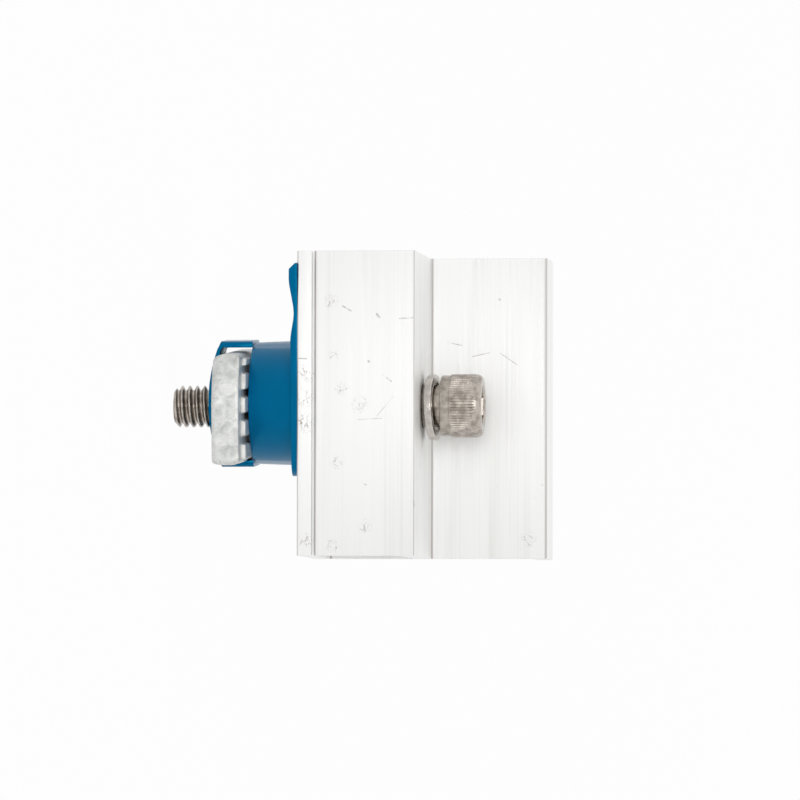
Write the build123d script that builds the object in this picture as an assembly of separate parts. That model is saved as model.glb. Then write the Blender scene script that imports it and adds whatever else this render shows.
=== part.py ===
from build123d import *
import math
import os

# Solar module end clamp, ready assembled on its channel nut. Millimetres, +Z up.
# The origin is where the screw's axis meets the face that sits on the rail.
# X runs along the extrusion, Y along the rail, and the module lies on the +Y side.

# Clamp body, an aluminium extrusion cut to length
clamp_length = 57.15
base_depth = 31.8
axis_to_near_face = 15.4
block_height = 22.2
clamp_height = 44.5
near_wall = 2.6
tall_wall = 3.0
base_plate = 2.8
top_plate = 3.2
lip_reach = 9.2
lip_thickness = 3.0
foot_setback = 0.35
foot_groove = 0.47
groove_depth = 1.1
outer_edge_radius = 0.7
sharp_edge_radius = 0.4
hollow_corner_radius = 1.2
wall_root_radius = 1.0
lip_root_radius = 1.6
lip_tip_radius = 1.0
screw_clearance = 0.4

# Cap screw, 5/16-18 by 2 in
screw_diameter = 7.94
screw_length = 50.8
seat_to_head = 3.6
head_diameter = 11.95
head_height = 7.8
neck_diameter = 11.6
neck_height = 1.77
head_chamfer = 0.75
neck_chamfer = 0.25
hex_across_flats = 6.35
hex_depth = 4.4
hex_cone_depth = 0.8
tip_chamfer = 1.1

# Split spring lock washer, held up at the back against the head
washer_width = 1.75
washer_clearance = 0.58
washer_thickness = 1.5
washer_rise = 0.7
washer_split_angle = 5.0
washer_lean_back = 5.6
washer_lean_side = 3.0
washer_shift = 0.3
washer_gap = 0.1232
washer_sections = 12

# Channel nut, lying along the rail's slot as it is dropped in
nut_length = 38.0
nut_thickness = 5.27
tooth_height = 0.9
tooth_pitch = 4.4
tooth_land = 2.8
tooth_shift = -0.8
tooth_setback = 2.0
tooth_draft = 15.0
tooth_count = 5
nut_corner_radius = 4.5
nut_small_corner_radius = 1.0
nut_lower_edge_radius = 2.0
thread_clearance = 0.05
nut_rest_turn = 5.5

# Plastic nut holder
stem_diameter = 23.6
stem_height = 9.5
plate_thickness = 1.35
plate_width = 26.0
plate_long_side = 27.0
plate_short_side = 13.2
plate_corner_radius = 3.0
tab_tip_thickness = 1.5
tab_neck_thickness = 0.65
tab_neck_x = 17.6
tab_bump_x = 23.6
tab_end_bevel = 1.1
bar_overhang = 0.4
bar_end_wall = 1.2
bar_width = 10.0
bar_corner_radius = 0.8
bar_side_rise = 0.32
bar_dome = 2.5
window_side_gap = 0.65
window_floor_gap = 0.1
window_corner_radius = 1.6
bore_clearance = 0.8
holder_shift = -0.6
base_gap = 0.05
nut_gap = 0.05

# Places that follow from the sizes above
near_face = -axis_to_near_face
wall_outer = near_face + base_depth
wall_inner = wall_outer - tall_wall
lip_tip = wall_outer + lip_reach
screw_seat = block_height + seat_to_head
screw_tip = screw_seat - screw_length
head_top = screw_seat + head_height
holder_top = -base_gap
stem_end = holder_top - stem_height
tooth_top = stem_end - nut_gap
nut_top = tooth_top - tooth_height
nut_bottom = nut_top - nut_thickness
stem_radius = stem_diameter / 2
bar_length = stem_diameter + 2 * bar_overhang
window_half = bar_length / 2 - bar_end_wall
nut_width = 2 * (window_half - window_side_gap)
window_floor = nut_bottom - window_floor_gap
bar_side_end = window_floor + bar_side_rise
washer_inner = screw_diameter + 2 * washer_clearance
washer_outer = washer_inner + 2 * washer_width


def rect_span(x0, y0, x1, y1):
    """Rectangle between two corners of a sketch plane."""
    return Pos((x0 + x1) / 2, (y0 + y1) / 2) * Rectangle(x1 - x0, y1 - y0)


def round_corners(sketch, places, radius):
    """Round the corners of a sketch that lie at the given places."""
    chosen = []
    for vertex in sketch.vertices():
        for place in places:
            if abs(vertex.X - place[0]) < 0.01 and abs(vertex.Y - place[1]) < 0.01:
                chosen.append(vertex)
    return fillet(chosen, radius)


def along_x(sketch, length):
    """Extrude a (Y, Z) sketch along X, centred on the screw's axis."""
    return extrude(Plane.YZ.offset(-length / 2) * sketch, length)


def clamp_profile():
    """Section of the clamp: hollow block, tall wall and module lip."""
    foot_top = base_plate
    groove_top = foot_top + foot_groove
    lip_under = clamp_height - lip_thickness

    outline = rect_span(near_face, 0, wall_outer, block_height)
    outline += rect_span(wall_inner, 0, wall_outer, clamp_height)
    outline += rect_span(wall_inner, lip_under, lip_tip, clamp_height)
    outline -= rect_span(near_face, 0, near_face + foot_setback, groove_top)
    outline -= rect_span(near_face, foot_top, near_face + groove_depth, groove_top)

    outline = round_corners(outline, [(near_face, groove_top)], outer_edge_radius)
    soft = [(wall_inner, clamp_height), (lip_tip, lip_under), (lip_tip, clamp_height)]
    outline = round_corners(outline, soft, lip_tip_radius)
    crisp = [(near_face, block_height), (near_face + foot_setback, 0), (wall_outer, 0)]
    outline = round_corners(outline, crisp, sharp_edge_radius)
    outline = round_corners(outline, [(wall_inner, block_height)], wall_root_radius)
    outline = round_corners(outline, [(wall_outer, lip_under)], lip_root_radius)

    hollow = rect_span(near_face + near_wall, base_plate, wall_inner, block_height - top_plate)
    hollow = fillet(hollow.vertices(), hollow_corner_radius)
    return outline - hollow


def clamp_body():
    """Extruded clamp with the screw's hole drilled through both plates."""
    body = along_x(clamp_profile(), clamp_length)
    hole_radius = screw_diameter / 2 + screw_clearance
    hole = extrude(Plane.XY.offset(-1) * Circle(hole_radius), block_height + 2)
    return body - hole


def cap_screw():
    """Socket head cap screw: turned outline with the hexagon pressed in."""
    shank = screw_diameter / 2
    neck = neck_diameter / 2
    head = head_diameter / 2
    neck_top = screw_seat + neck_height
    step = head - neck
    outline = Polyline(
        (0, screw_tip),
        (shank - tip_chamfer, screw_tip),
        (shank, screw_tip + tip_chamfer),
        (shank, screw_seat),
        (neck - neck_chamfer, screw_seat),
        (neck, screw_seat + neck_chamfer),
        (neck, neck_top - step),
        (head, neck_top),
        (head, head_top - head_chamfer),
        (head - head_chamfer, head_top),
        (0, head_top),
        close=True,
    )
    screw = revolve(Plane.XZ * make_face(outline), Axis.Z)
    hexagon = RegularPolygon(hex_across_flats / 2, 6, major_radius=False)
    socket = extrude(Plane.XY.offset(head_top - hex_depth) * hexagon, hex_depth + 1)
    cone_top = hex_across_flats / 2
    cone_place = Pos(0, 0, head_top - hex_depth - hex_cone_depth / 2)
    socket += cone_place * Cone(0.4, cone_top, hex_cone_depth)
    return screw - socket


def washer_section(turn):
    """Section of the spring washer at a share of one turn."""
    ring = (washer_outer - washer_inner) / 2
    middle = (washer_outer + washer_inner) / 4
    gap = washer_split_angle / 2
    angle = 90 - gap - turn * (360 - 2 * gap)
    lift = washer_rise * (turn - 0.5)
    place = Rot(0, 0, angle) * Pos(middle, 0, lift)
    return place * (Plane.XZ * Rectangle(ring, washer_thickness))


def lock_washer():
    """Split ring: sections lofted round one turn, then leant on the shank."""
    half = washer_sections // 2
    first = [washer_section(step / washer_sections) for step in range(half + 1)]
    second = [washer_section(step / washer_sections) for step in range(half, washer_sections + 1)]
    ring = loft(first) + loft(second)
    drop = (neck_diameter / 2 - neck_chamfer) * math.sin(math.radians(washer_lean_back))
    middle = screw_seat - (washer_thickness + washer_rise) / 2 - drop - washer_gap
    return Pos(washer_shift, 0, middle) * Rot(washer_lean_back, -washer_lean_side, 0) * ring


def nut_outline():
    """Plan of the nut: two opposite corners swept so that it can turn."""
    plan = Rectangle(nut_width, nut_length)
    half_x = nut_width / 2
    half_y = nut_length / 2
    plan = round_corners(plan, [(-half_x, -half_y), (half_x, half_y)], nut_corner_radius)
    sharp = [(half_x, -half_y), (-half_x, half_y)]
    return round_corners(plan, sharp, nut_small_corner_radius)


def nut_tooth():
    """One long ridge that bites the underside of the rail's lips."""
    root = tooth_land / 2 + tooth_height * math.tan(math.radians(tooth_draft))
    crest = tooth_land / 2
    length = nut_length - 2 * tooth_setback
    section = Polyline(
        (-root, nut_top - 0.2),
        (root, nut_top - 0.2),
        (root, nut_top),
        (crest, tooth_top),
        (-crest, tooth_top),
        (-root, nut_top),
        close=True,
    )
    return extrude(Plane.XZ.offset(-length / 2) * make_face(section), length)


def channel_nut():
    """Cast nut: rounded lower long edges, ridges on top, tapped hole."""
    nut = extrude(Plane.XY.offset(nut_bottom) * nut_outline(), nut_thickness)
    side = [e for e in nut.edges().filter_by(Axis.Y) if e.center().Z < nut_bottom + 0.1]
    nut = fillet(side, nut_lower_edge_radius)
    start = -(tooth_count - 1) / 2
    for row in range(tooth_count):
        x = (start + row) * tooth_pitch + tooth_shift
        nut += Pos(x, 0, 0) * nut_tooth()
    plan = extrude(Plane.XY.offset(nut_bottom) * nut_outline(), nut_thickness + tooth_height)
    nut = nut & plan
    bore_radius = screw_diameter / 2 + thread_clearance
    bore = extrude(Plane.XY.offset(nut_bottom - 1) * Circle(bore_radius), nut_thickness + 3)
    return nut - bore


def holder_plate():
    """Plate under the clamp with its waved spring tab towards -X."""
    top = holder_top
    under = holder_top - plate_thickness
    flat_end = -stem_radius
    tip = -plate_long_side
    tip_under = top - tab_tip_thickness
    right = plate_short_side
    wave = Spline(
        (flat_end, under),
        (-tab_neck_x, top - tab_neck_thickness),
        (-tab_bump_x, tip_under),
        (tip + tab_end_bevel, tip_under),
        tangents=[(-1, 0), (-1, 0)],
    )
    rest = Polyline(
        (tip + tab_end_bevel, tip_under),
        (tip, top - tab_tip_thickness / 4),
        (tip, top),
        (right, top),
        (right, under),
        (flat_end, under),
    )
    section = make_face(wave.edges() + rest.edges())
    plate = extrude(Plane.XZ.offset(-plate_width / 2) * section, plate_width)
    plan = rect_span(tip - 1, -plate_width / 2, right, plate_width / 2)
    plan = round_corners(plan, [(right, -plate_width / 2), (right, plate_width / 2)], plate_corner_radius)
    trim = extrude(Plane.XY.offset(-5) * plan, 6)
    return plate & trim


def holder_bar():
    """Flat bar below the stem with a domed underside and the nut's window."""
    half = bar_length / 2
    outline = Polyline(
        (-half, bar_side_end),
        (-half, stem_end),
        (half, stem_end),
        (half, bar_side_end),
    )
    dome = ThreePointArc((half, bar_side_end), (0, bar_side_end - bar_dome), (-half, bar_side_end))
    face = make_face(outline.edges() + dome.edges())
    window = rect_span(-window_half, window_floor, window_half, stem_end)
    low = [(-window_half, window_floor), (window_half, window_floor)]
    window = round_corners(window, low, window_corner_radius)
    bar = extrude(Plane.XZ.offset(-bar_width / 2) * (face - window), bar_width)
    plan = RectangleRounded(bar_length, bar_width, bar_corner_radius)
    return bar & extrude(Plane.XY.offset(stem_end - 20) * plan, 25)


def nut_holder():
    """Moulded holder: plate, round stem and windowed bar, bored for the screw."""
    stem = extrude(Plane.XY.offset(stem_end) * Circle(stem_radius), stem_height)
    bore_radius = screw_diameter / 2 + bore_clearance
    bore = extrude(Plane.XY.offset(screw_tip) * Circle(bore_radius), -screw_tip + 1)
    holder = stem + holder_plate() + holder_bar() - bore
    return Pos(holder_shift, 0, 0) * holder


def turned(shape):
    """The nut and its holder stand a little turned from the rail's slot."""
    return Rot(0, 0, nut_rest_turn) * shape


os.makedirs("parts", exist_ok=True)
export_step(clamp_body(), "parts/clamp_body.step")
export_step(cap_screw(), "parts/cap_screw.step")
export_step(lock_washer(), "parts/lock_washer.step")
export_step(turned(channel_nut()), "parts/channel_nut.step")
export_step(turned(nut_holder()), "parts/nut_holder.step")
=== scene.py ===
import bpy
import bmesh
import math
from mathutils import Matrix, Vector


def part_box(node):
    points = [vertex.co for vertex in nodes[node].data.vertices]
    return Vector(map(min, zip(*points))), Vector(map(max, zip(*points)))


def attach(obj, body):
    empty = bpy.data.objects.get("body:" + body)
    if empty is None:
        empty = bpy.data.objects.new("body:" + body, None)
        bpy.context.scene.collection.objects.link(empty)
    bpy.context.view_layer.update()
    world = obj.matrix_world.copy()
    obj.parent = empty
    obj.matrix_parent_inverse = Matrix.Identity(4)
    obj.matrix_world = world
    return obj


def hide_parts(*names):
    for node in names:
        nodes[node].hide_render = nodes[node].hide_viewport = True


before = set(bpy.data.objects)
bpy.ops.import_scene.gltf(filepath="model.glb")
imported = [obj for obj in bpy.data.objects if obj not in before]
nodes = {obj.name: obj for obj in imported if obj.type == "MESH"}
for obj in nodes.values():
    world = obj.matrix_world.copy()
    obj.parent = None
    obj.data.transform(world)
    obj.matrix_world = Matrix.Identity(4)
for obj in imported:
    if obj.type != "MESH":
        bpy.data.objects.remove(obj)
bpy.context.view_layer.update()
scene = bpy.context.scene
mm = 0.001


def linearColour(hexText):
    values = [int(hexText[i:i + 2], 16) / 255 for i in (1, 3, 5)]
    linear = [v / 12.92 if v <= 0.04045 else ((v + 0.055) / 1.055) ** 2.4 for v in values]
    return (*linear, 1.0)


def addNode(tree, kind, settings=None, links=None):
    # a kind with no Node in its name is a shader node, and a lone word of settings is its operation;
    # links hold numbers, sockets or whole nodes, by the input's name or in the order of the inputs
    node = tree.nodes.new(kind if "Node" in kind else "ShaderNode" + kind)
    if isinstance(settings, str):
        settings = {"operation": settings}
    for name, value in (settings or {}).items():
        if isinstance(name, int) or name in node.inputs:
            node.inputs[name].default_value = value
        else:
            setattr(node, name, value)
    pairs = links.items() if isinstance(links, dict) else enumerate(links or ())
    for name, source in pairs:
        if isinstance(source, (int, float)):
            node.inputs[name].default_value = source
        else:
            tree.links.new(getattr(source, "outputs", [source])[0], node.inputs[name])
    return node


def emptyTree(owner):
    owner.use_nodes = True
    owner.node_tree.nodes.clear()
    return owner.node_tree


def newMaterial(name, settings):
    material = bpy.data.materials.new(name)
    tree = emptyTree(material)
    shader = addNode(tree, "BsdfPrincipled", settings)
    addNode(tree, "OutputMaterial", links=[shader])
    return material, tree, shader


def finishShader(tree, shader, colour, roughness, relief):
    for name, socket in (("Base Color", colour), ("Roughness", roughness), ("Normal", relief)):
        tree.links.new(socket, shader.inputs[name])


def grey(value):
    return (value, value, value, 1)


millFinish = {
    "clean": "#F2F2F1",
    "dull": "#E6E6E3",
    "speck": "#8C7460",
    "scratch": "#A3A09B",
    # colour of the painted shade along the rounded edges
    "edgeShade": "#A89C98",
    "roughness": 0.52,
    "dieLine": 0.5 * mm,
    "broadStreak": 4.5 * mm,
    "streakLength": 70 * mm,
    "speckSize": 1.3 * mm,
    "speckShift": (0.31, 0.12, 0.7),        # slides the specks' pattern, in speck sizes
    "sawMark": 0.35 * mm,
    "sawLength": 30 * mm,
    "sawTurn": 0.5,
    "squiggle": 1.9 * mm,
    # worn places: x, y, z and radius in millimetres
    "worn": [(-19.1, -15.4, 6.4, 1.7), (-2.6, -15.4, 8.6, 1.6), (0.2, -15.4, 12.1, 2.0),
             (-8.8, -15.4, 6.8, 1.3), (11.2, -15.4, 7.6, 1.5), (23.0, -15.4, 12.9, 1.7),
             (26.6, -15.4, 6.9, 1.6), (24.8, 13.4, 40.8, 2.0), (-5.5, -15.1, 1.5, 2.4),
             (-1.0, -15.1, 1.5, 2.4), (3.5, -15.1, 1.5, 2.4), (25.6, -15.1, 1.6, 1.8),
             (18.9, -15.4, 22.0, 1.0), (-10.0, 13.4, 44.4, 0.9)],
    # single scratches: two ends as x, y, z, then their width in millimetres
    "scratches": [((-18.2, -15.4, 8.6), (-17.2, -15.4, 10.3), 0.14),
                  ((-15.8, -15.4, 19.3), (-15.9, -15.4, 21.9), 0.1),
                  ((-8.4, -15.1, 0.2), (-8.3, -15.1, 1.9), 0.16),
                  ((-5.3, -15.4, 16.1), (-4.0, -15.4, 17.9), 0.1),
                  ((3.1, -15.4, 11.6), (2.9, -15.4, 16.0), 0.08),
                  ((2.6, -15.4, 15.0), (-1.2, -15.4, 18.2), 0.07),
                  ((-12.6, 13.4, 25.4), (-12.0, 13.4, 28.2), 0.08),
                  ((-9.9, 13.4, 30.2), (-10.6, 13.4, 33.4), 0.09),
                  ((-10.6, 13.4, 35.4), (-8.2, 13.4, 38.8), 0.08),
                  ((12.6, 13.2, 20.5), (11.8, 13.2, 21.4), 0.12),
                  ((-16.6, -15.4, 15.1), (-16.0, -15.4, 15.6), 0.3),
                  ((-7.8, -15.4, 13.5), (-7.7, -15.4, 13.7), 0.26),
                  ((-20.8, 13.4, 35.2), (-20.7, 13.4, 35.4), 0.24),
                  ((15.2, -15.4, 12.8), (15.3, -15.4, 13.1), 0.2)],
}


def scratchShade(tree, point, start, end, width):
    # 1 on the line between two points, 0 a width away from it
    start, end = Vector(start) * mm, Vector(end) * mm
    along = end - start
    offset = addNode(tree, "VectorMath", {"operation": "SUBTRACT", 1: start}, {0: point})
    share = addNode(tree, "VectorMath", {"operation": "DOT_PRODUCT", 1: along / along.length_squared},
                    {0: offset})
    held = addNode(tree, "Clamp", links={0: share.outputs["Value"]})
    foot = addNode(tree, "VectorMath", {"operation": "SCALE", 0: along}, {"Scale": held})
    away = addNode(tree, "VectorMath", "DISTANCE", {0: offset, 1: foot})
    return addNode(tree, "MapRange", {"From Min": width * mm, "From Max": 0.3 * width * mm},
                   {"Value": away.outputs["Value"]})


def makeMillAluminium():
    # mill finish 6000 series extrusion: pale, softly reflecting, with fine lines drawn by the die
    s = millFinish
    material, tree, shader = newMaterial("millFinishAluminium", {"Metallic": 1.0})
    place = addNode(tree, "TexCoord")
    point = place.outputs["Object"]
    along = addNode(tree, "Mapping", {"Scale": (1 / s["streakLength"], 1 / s["dieLine"], 1 / s["dieLine"])},
                    {"Vector": point})
    fine = addNode(tree, "TexNoise", {"Scale": 1.0, "Detail": 3.0, "Roughness": 0.65}, {"Vector": along})
    wide = addNode(tree, "Mapping", {"Scale": (1 / s["streakLength"] / 2, 1 / s["broadStreak"],
                                               1 / s["broadStreak"])}, {"Vector": point})
    broad = addNode(tree, "TexNoise", {"Scale": 1.0, "Detail": 2.0}, {"Vector": wide})
    streaks = addNode(tree, "Math", {"operation": "MULTIPLY_ADD", 1: 1.4}, {0: fine, 2: broad})
    shade = addNode(tree, "MapRange", {"From Min": 0.75, "From Max": 1.25}, {"Value": streaks})
    colour = addNode(tree, "Mix", {"data_type": "RGBA", 6: linearColour(s["dull"]),
                                   7: linearColour(s["clean"])}, {0: shade})

    # wandering hairlines where the bar has been knocked about
    wornPlace = addNode(tree, "Mapping", {"Scale": (1 / s["squiggle"],) * 3}, {"Vector": point})
    wander = addNode(tree, "TexNoise", {"Scale": 1.0, "Detail": 2.5, "Roughness": 0.55, "Distortion": 1.2},
                     {"Vector": wornPlace})
    centred = addNode(tree, "Math", "SUBTRACT", (wander, 0.5))
    centred = addNode(tree, "Math", "ABSOLUTE", [centred])
    hairline = addNode(tree, "MapRange", {"From Min": 0.022, "From Max": 0.004}, {"Value": centred})
    patches = 0.0
    for x, y, z, radius in s["worn"]:
        away = addNode(tree, "VectorMath", {"operation": "DISTANCE", 1: Vector((x, y, z)) * mm}, {0: point})
        near = addNode(tree, "MapRange", {"From Min": radius * mm, "From Max": 0.4 * radius * mm},
                       {"Value": away.outputs["Value"]})
        patches = addNode(tree, "Math", "ADD", (near, patches))
    marks = addNode(tree, "Math", {"operation": "MULTIPLY", "use_clamp": True}, (hairline, patches))
    for start, end, width in s["scratches"]:
        marks = addNode(tree, "Math", "MAXIMUM", (marks, scratchShade(tree, point, start, end, width)))
    broken = addNode(tree, "MapRange", {"From Min": 0.36, "From Max": 0.6, "To Min": 0.15},
                     {"Value": wander})
    marks = addNode(tree, "Math", {"operation": "MULTIPLY", "use_clamp": True}, (marks, broken))
    marked = addNode(tree, "Mix", {"data_type": "RGBA", 7: linearColour(s["scratch"])},
                     {0: marks, 6: colour.outputs[2]})

    # brown specks left by handling
    speckPlace = addNode(tree, "Mapping", {"Location": s["speckShift"], "Scale": (1 / s["speckSize"],) * 3},
                         {"Vector": point})
    specks = addNode(tree, "TexNoise", {"Scale": 1.0, "Detail": 4.0, "Roughness": 0.65},
                     {"Vector": speckPlace})
    nearPatch = addNode(tree, "Math", "MULTIPLY_ADD", (patches, 0.11, specks))
    speckMask = addNode(tree, "MapRange", {"From Min": 0.72, "From Max": 0.8, "To Max": 0.75},
                        {"Value": nearPatch})
    speckled = addNode(tree, "Mix", {"data_type": "RGBA", 7: linearColour(s["speck"])},
                       {0: speckMask, 6: marked.outputs[2]})

    # painted shade along the rounded arrises, found from the direction the surface faces
    facing = addNode(tree, "VectorMath", "ABSOLUTE", {0: place.outputs["Normal"]})
    parts = addNode(tree, "SeparateXYZ", links={0: facing})
    flat = addNode(tree, "Math", "MAXIMUM", (parts.outputs[1], parts.outputs[2]))
    flat = addNode(tree, "Math", "MAXIMUM", (parts.outputs[0], flat))
    rounded = addNode(tree, "MapRange", {"From Min": 0.9, "From Max": 0.76, "To Max": 0.8}, {"Value": flat})
    streakedEdgeShade = addNode(tree, "Math", "MULTIPLY", (rounded, shade))
    everywhere = addNode(tree, "Math", "MULTIPLY", (rounded, 0.4))
    paintedShade = addNode(tree, "Math", "MULTIPLY_ADD", (streakedEdgeShade, 0.6, everywhere))
    shadedColour = addNode(tree, "Mix", {"data_type": "RGBA", 7: linearColour(s["edgeShade"])},
                     {0: paintedShade, 6: speckled.outputs[2]})

    # the sawn ends show the blade's marks instead
    sawn = addNode(tree, "Math", "GREATER_THAN", (parts.outputs[0], 0.9))
    sawPlace = addNode(tree, "Mapping",
                       {"Rotation": (s["sawTurn"], 0, 0),
                        "Scale": (0, 1 / s["sawMark"], 1 / s["sawLength"])}, {"Vector": point})
    sawMarks = addNode(tree, "TexNoise", {"Scale": 1.0, "Detail": 3.0}, {"Vector": sawPlace})
    height = addNode(tree, "Mix", {"data_type": "FLOAT"}, {0: sawn, 2: fine, 3: sawMarks})
    pitted = addNode(tree, "Math", "MULTIPLY_ADD", (marks, -1.0, height))
    bump = addNode(tree, "Bump", {"Strength": 0.3, "Distance": 0.03 * mm}, {"Height": pitted})
    rough = addNode(tree, "MapRange",
                    {"From Min": 0.3, "From Max": 0.7, "To Min": s["roughness"] - 0.05,
                     "To Max": s["roughness"] + 0.08}, {"Value": fine})
    finishShader(tree, shader, shadedColour.outputs[2], rough.outputs[0], bump.outputs[0])
    return material


steelFinish = {
    # colour of the painted shade on the thread flanks and in the knurl grooves
    "paintedShade": "#241C18",
    "mottle": 1.4 * mm,
    "turning": 0.22 * mm,       # spacing of the turning marks
    "turningLength": 2 * mm,
}
screwFinish = {"bright": "#BFB7AE", "dark": "#989088", "roughness": 0.21}
washerFinish = {"bright": "#CFCAC4", "dark": "#BBB5AE", "roughness": 0.24}


def makeStainless(name, look):
    # cold formed stainless steel: warm grey, quite bright, with painted shade in the grooves
    s = steelFinish
    material, tree, shader = newMaterial(name, {"Metallic": 1.0})
    point = addNode(tree, "TexCoord").outputs["Object"]
    mottlePlace = addNode(tree, "Mapping", {"Scale": (1 / s["mottle"],) * 3}, {"Vector": point})
    mottle = addNode(tree, "TexNoise", {"Scale": 1.0, "Detail": 4.0}, {"Vector": mottlePlace})
    tarnish = addNode(tree, "MapRange", {"From Min": 0.38, "From Max": 0.6}, {"Value": mottle})
    colour = addNode(tree, "Mix", {"data_type": "RGBA", 6: linearColour(look["dark"]),
                                   7: linearColour(look["bright"])}, {0: tarnish})
    # painted shade: the groove attribute darkens the thread flanks and the knurl grooves
    groove = addNode(tree, "Attribute", {"attribute_name": "groove"})
    grooveShadeAmount = addNode(tree, "MapRange", {"From Min": 0.45, "From Max": 1.0, "To Max": 0.8},
                   {"Value": groove.outputs["Fac"]})
    shadedColour = addNode(tree, "Mix", {"data_type": "RGBA", 7: linearColour(s["paintedShade"])},
                     {0: grooveShadeAmount, 6: colour.outputs[2]})
    ringPlace = addNode(tree, "Mapping",
                        {"Scale": (1 / s["turningLength"], 1 / s["turningLength"], 1 / s["turning"])},
                        {"Vector": point})
    rings = addNode(tree, "TexNoise", {"Scale": 1.0, "Detail": 2.0}, {"Vector": ringPlace})
    rough = addNode(tree, "MapRange",
                    {"From Min": 0.3, "From Max": 0.7, "To Min": look["roughness"] - 0.06,
                     "To Max": look["roughness"] + 0.08}, {"Value": mottle})
    bump = addNode(tree, "Bump", {"Strength": 0.3, "Distance": 0.02 * mm}, {"Height": rings})
    finishShader(tree, shader, shadedColour.outputs[2], rough.outputs[0], bump.outputs[0])
    return material


zincFinish = {
    "pale": "#E9EAE7",
    "mid": "#DADBD8",
    "dark": "#BEC0BD",
    "cloud": 2.0 * mm,
    "grain": 0.4 * mm,
    "crackColour": "#6F7273",
    "crack": 2.4 * mm,
}


def makeZinc():
    # zinc coated casting: pale grey clouds, fine grain and a few dark hairlines
    s = zincFinish
    material, tree, shader = newMaterial("zincCoatedCasting", {"Metallic": 0.45})
    point = addNode(tree, "TexCoord").outputs["Object"]
    cloudPlace = addNode(tree, "Mapping", {"Scale": (1 / s["cloud"],) * 3}, {"Vector": point})
    clouds = addNode(tree, "TexNoise", {"Scale": 1.0, "Detail": 5.0, "Roughness": 0.6, "Distortion": 0.6},
                     {"Vector": cloudPlace})
    tones = addNode(tree, "ValToRGB", links=[clouds])
    stops = tones.color_ramp.elements
    stops.new(0.5)
    for stop, place, colour in zip(stops, (0.32, 0.5, 0.66), (s["dark"], s["mid"], s["pale"])):
        stop.position = place
        stop.color = linearColour(colour)
    grainPlace = addNode(tree, "Mapping", {"Scale": (1 / s["grain"],) * 3}, {"Vector": point})
    grain = addNode(tree, "TexNoise", {"Scale": 1.0, "Detail": 3.0}, {"Vector": grainPlace})
    crackPlace = addNode(tree, "Mapping", {"Scale": (1 / s["crack"], 1 / s["crack"], 0.6 / s["crack"])},
                         {"Vector": point})
    bent = addNode(tree, "VectorMath", {"operation": "MULTIPLY_ADD", 1: (0.7, 0.7, 0.7)},
                   {0: grain.outputs["Color"], 2: crackPlace})
    cracks = addNode(tree, "TexVoronoi", {"feature": "DISTANCE_TO_EDGE", "Scale": 1.0}, {"Vector": bent})
    crackLine = addNode(tree, "MapRange",
                        {"From Min": 0.0, "From Max": 0.035, "To Min": 1.0, "To Max": 0.0},
                        {"Value": cracks.outputs["Distance"]})
    patchy = addNode(tree, "MapRange", {"From Min": 0.5, "From Max": 0.62, "To Max": 0.55},
                     {"Value": clouds})
    crackMask = addNode(tree, "Math", "MULTIPLY", {0: crackLine, 1: patchy})
    colour = addNode(tree, "Mix", {"data_type": "RGBA", 7: linearColour(s["crackColour"])},
                     {0: crackMask, 6: tones})
    rough = addNode(tree, "MapRange", {"From Min": 0.3, "From Max": 0.7, "To Min": 0.5, "To Max": 0.36},
                    {"Value": clouds})
    relief = addNode(tree, "Math", {"operation": "MULTIPLY_ADD", 1: -0.8}, {0: crackMask, 2: grain})
    bump = addNode(tree, "Bump", {"Strength": 0.35, "Distance": 0.04 * mm}, {"Height": relief})
    finishShader(tree, shader, colour.outputs[2], rough.outputs[0], bump.outputs[0])
    return material


plasticFinish = {
    "deep": "#00507F",
    "light": "#005D90",
    "gloss": "#20D0F8",
    "roughness": 0.22,
    "flow": 6 * mm,
    "texture": 0.25 * mm,
}


def makeBluePlastic():
    # injection moulded nylon: even strong blue, soft gloss, very fine spark texture
    s = plasticFinish
    material, tree, shader = newMaterial("mouldedBlueNylon", {
        "IOR": 1.53, "Specular IOR Level": 1.0, "Specular Tint": linearColour(s["gloss"])})
    point = addNode(tree, "TexCoord").outputs["Object"]
    flowPlace = addNode(tree, "Mapping", {"Scale": (1 / s["flow"],) * 3}, {"Vector": point})
    flow = addNode(tree, "TexNoise", {"Scale": 1.0, "Detail": 3.0}, {"Vector": flowPlace})
    colour = addNode(tree, "Mix", {"data_type": "RGBA", 6: linearColour(s["deep"]),
                                   7: linearColour(s["light"])}, {0: flow})
    finePlace = addNode(tree, "Mapping", {"Scale": (1 / s["texture"],) * 3}, {"Vector": point})
    fine = addNode(tree, "TexNoise", {"Scale": 1.0, "Detail": 2.0}, {"Vector": finePlace})
    rough = addNode(tree, "MapRange",
                    {"From Min": 0.3, "From Max": 0.7, "To Min": s["roughness"] - 0.05,
                     "To Max": s["roughness"] + 0.07}, {"Value": flow})
    bump = addNode(tree, "Bump", {"Strength": 0.25, "Distance": 0.02 * mm}, {"Height": fine})
    finishShader(tree, shader, colour.outputs[2], rough.outputs[0], bump.outputs[0])
    return material


aluminium = makeMillAluminium()
screwSteel = makeStainless("coldFormedStainless", screwFinish)
washerSteel = makeStainless("rolledStainlessStrip", washerFinish)
zinc = makeZinc()
bluePlastic = makeBluePlastic()
print("finishes made")


def meshFrom(name, vertices, faces):
    mesh = bpy.data.meshes.new(name)
    mesh.from_pydata(vertices, [], faces)
    mesh.update()
    piece = bpy.data.objects.new(name, mesh)
    scene.collection.objects.link(piece)
    return piece


def ringFaces(first, second, size):
    # quads between two rings of vertices, each given by the number of its first vertex
    following = [*range(1, size), 0]
    return [(first + a, first + b, second + b, second + a) for a, b in enumerate(following)]


def faceOutwards(piece, weld=0.0):
    mesh = bmesh.new()
    mesh.from_mesh(piece.data)
    if weld:
        bmesh.ops.remove_doubles(mesh, verts=mesh.verts, dist=weld)
    bmesh.ops.recalc_face_normals(mesh, faces=mesh.faces)
    mesh.to_mesh(piece.data)
    mesh.free()


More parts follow.
